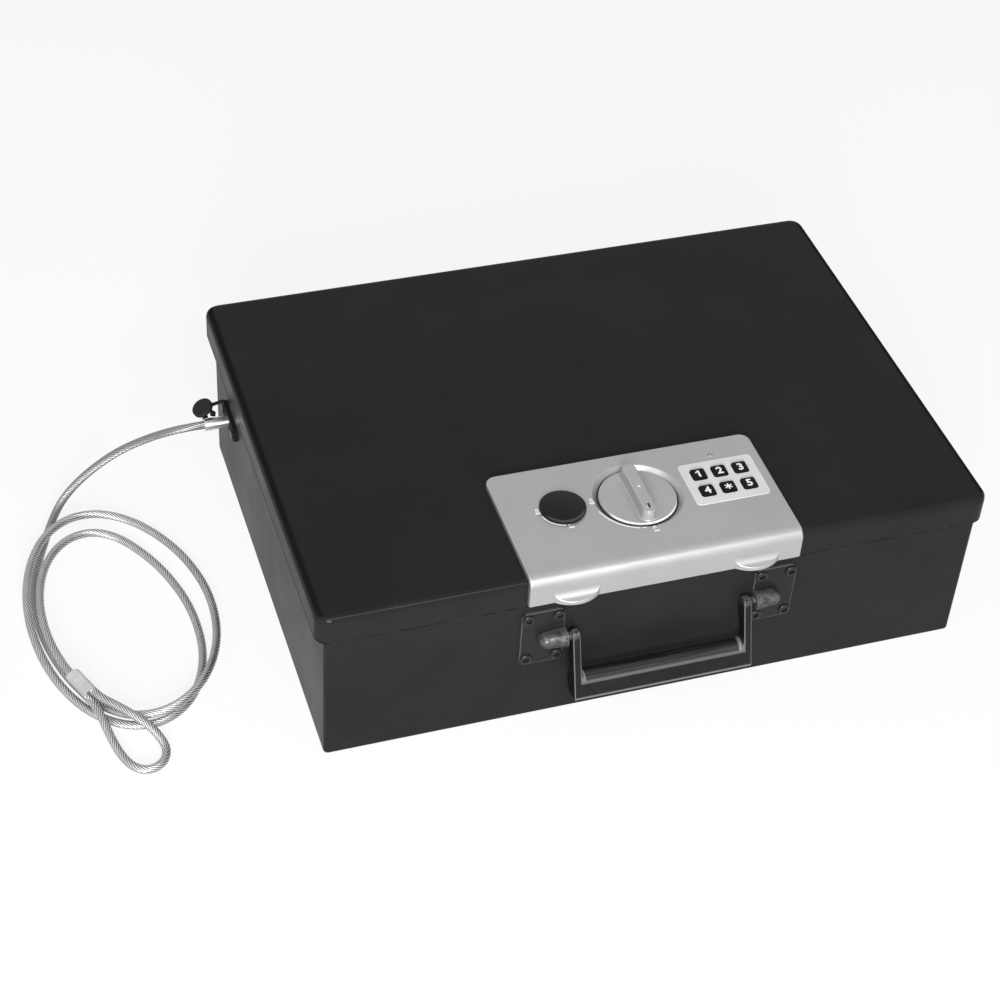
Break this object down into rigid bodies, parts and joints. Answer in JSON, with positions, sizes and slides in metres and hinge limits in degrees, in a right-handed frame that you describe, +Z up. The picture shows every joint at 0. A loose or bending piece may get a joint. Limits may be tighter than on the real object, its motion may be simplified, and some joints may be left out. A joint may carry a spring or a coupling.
{
  "type": "cash box",
  "caption": "Black steel cash box with a hinged lid, silver panel with keypad, turning lock knob and covered key lock, folding front handle and a coiled security cable with an eye.",
  "frame": {"origin": "on the underside of the base, below the middle of the lid's outline", "axes": "+X along the front to the right as seen from the front, +Y to the rear, +Z up"},
  "size_m": [0.514, 0.2873, 0.1146],
  "materials": {
    "black_paint": "satin black powder coat",
    "silver_panel": "satin silver paint",
    "black_plastic": "satin moulded black",
    "handle_black": "satin moulded black",
    "label_white": "printed white label",
    "lamp_clear": "clear lamp lens",
    "board_green": "circuit board",
    "steel": "zinc plated",
    "solenoid_steel": "blackened frame",
    "lock_chrome": "plated",
    "lock_brass": "machined",
    "cell_jacket": "printed jacket",
    "ferrule_aluminium": "bright pressed",
    "wire_rope": "stranded wire under a clear coat",
    "black_rubber": "smooth moulded"
  },
  "bodies": {
    "base": {"base_shell": "black_paint", "hinge_base_leaf": "black_paint", "hinge_pin": "steel", "bracket_left": "black_paint", "bracket_right": "black_paint", "bracket_rivets": "black_paint", "anchor_plate": "black_plastic", "anchor_rivets": "steel", "hole_plug": "black_rubber", "anchor_ferrule": "ferrule_aluminium", "anchor_washer": "steel", "anchor_nut": "steel", "cable_lead": "wire_rope", "cable_coil": "wire_rope", "end_ferrule": "ferrule_aluminium", "cable_eye": "wire_rope"},
    "lid": {"lid_shell": "black_paint", "hinge_lid_leaf": "black_paint", "lock_panel": "silver_panel", "panel_screws": "steel", "keypad_label": "label_white", "keypad_board": "board_green", "status_lamp": "lamp_clear", "lock_case": "black_plastic", "lid_studs": "steel", "case_nuts": "steel", "override_body": "lock_chrome", "override_nut": "lock_chrome", "solenoid_body": "solenoid_steel", "batteries": "cell_jacket", "battery_contacts": "steel"},
    "carry_handle": {"handle": "handle_black"},
    "knob": {"dial_knob": "silver_panel", "knob_spindle": "steel", "crank_disc": "steel"},
    "bolt": {"bolt_bar": "steel"},
    "cover": {"key_cover": "black_plastic"},
    "lock_core": {"override_core": "lock_brass"},
    "plunger": {"solenoid_plunger": "steel"},
    "battery_hatch": {"battery_door": "black_plastic"},
    "button_1": {"key_1": "black_plastic"},
    "button_2": {"key_2": "black_plastic"},
    "button_3": {"key_3": "black_plastic"},
    "button_4": {"key_4": "black_plastic"},
    "button_star": {"key_star": "black_plastic"},
    "button_5": {"key_5": "black_plastic"}
  },
  "joints": [
    {"name": "lid_hinge", "type": "hinge", "parent": "base", "child": "lid", "pos_m": [0, 0.1304, 0.087], "axis": [-1, 0, 0], "range_deg": [0, 100]},
    {"name": "handle_swing", "type": "hinge", "parent": "base", "child": "carry_handle", "pos_m": [0, -0.1371, 0.0612], "axis": [-1, 0, 0], "range_deg": [0, 90]},
    {"name": "knob_turn", "type": "hinge", "parent": "lid", "child": "knob", "pos_m": [0, -0.0885, 0.1065], "axis": [0, 0, -1], "range_deg": [0, 93]},
    {"name": "bolt_slide", "type": "slide", "parent": "lid", "child": "bolt", "axis": [0, -1, 0], "range_m": [0, 0.0094]},
    {"name": "cover_lift", "type": "slide", "parent": "lid", "child": "cover", "axis": [0, 0, 1], "range_m": [0, 0.015]},
    {"name": "core_turn", "type": "hinge", "parent": "lid", "child": "lock_core", "pos_m": [-0.043, -0.0885, 0.1], "axis": [0, 0, -1], "range_deg": [0, 90]},
    {"name": "plunger_pull", "type": "slide", "parent": "lid", "child": "plunger", "axis": [0, 0, -1], "range_m": [0, 0.003], "stiffness_N_per_m": 200},
    {"name": "hatch_slide", "type": "slide", "parent": "lid", "child": "battery_hatch", "axis": [0, 1, 0], "range_m": [0, 0.033]},
    {"name": "press_1", "type": "slide", "parent": "lid", "child": "button_1", "axis": [0, 0, -1], "range_m": [0, 0.0008], "stiffness_N_per_m": 400},
    {"name": "press_2", "type": "slide", "parent": "lid", "child": "button_2", "axis": [0, 0, -1], "range_m": [0, 0.0008], "stiffness_N_per_m": 400},
    {"name": "press_3", "type": "slide", "parent": "lid", "child": "button_3", "axis": [0, 0, -1], "range_m": [0, 0.0008], "stiffness_N_per_m": 400},
    {"name": "press_4", "type": "slide", "parent": "lid", "child": "button_4", "axis": [0, 0, -1], "range_m": [0, 0.0008], "stiffness_N_per_m": 400},
    {"name": "press_star", "type": "slide", "parent": "lid", "child": "button_star", "axis": [0, 0, -1], "range_m": [0, 0.0008], "stiffness_N_per_m": 400},
    {"name": "press_5", "type": "slide", "parent": "lid", "child": "button_5", "axis": [0, 0, -1], "range_m": [0, 0.0008], "stiffness_N_per_m": 400}
  ],
  "couplings": [
    {"joint": "knob_turn", "follows": "bolt_slide", "rad_per_m": 167.03}
  ]
}
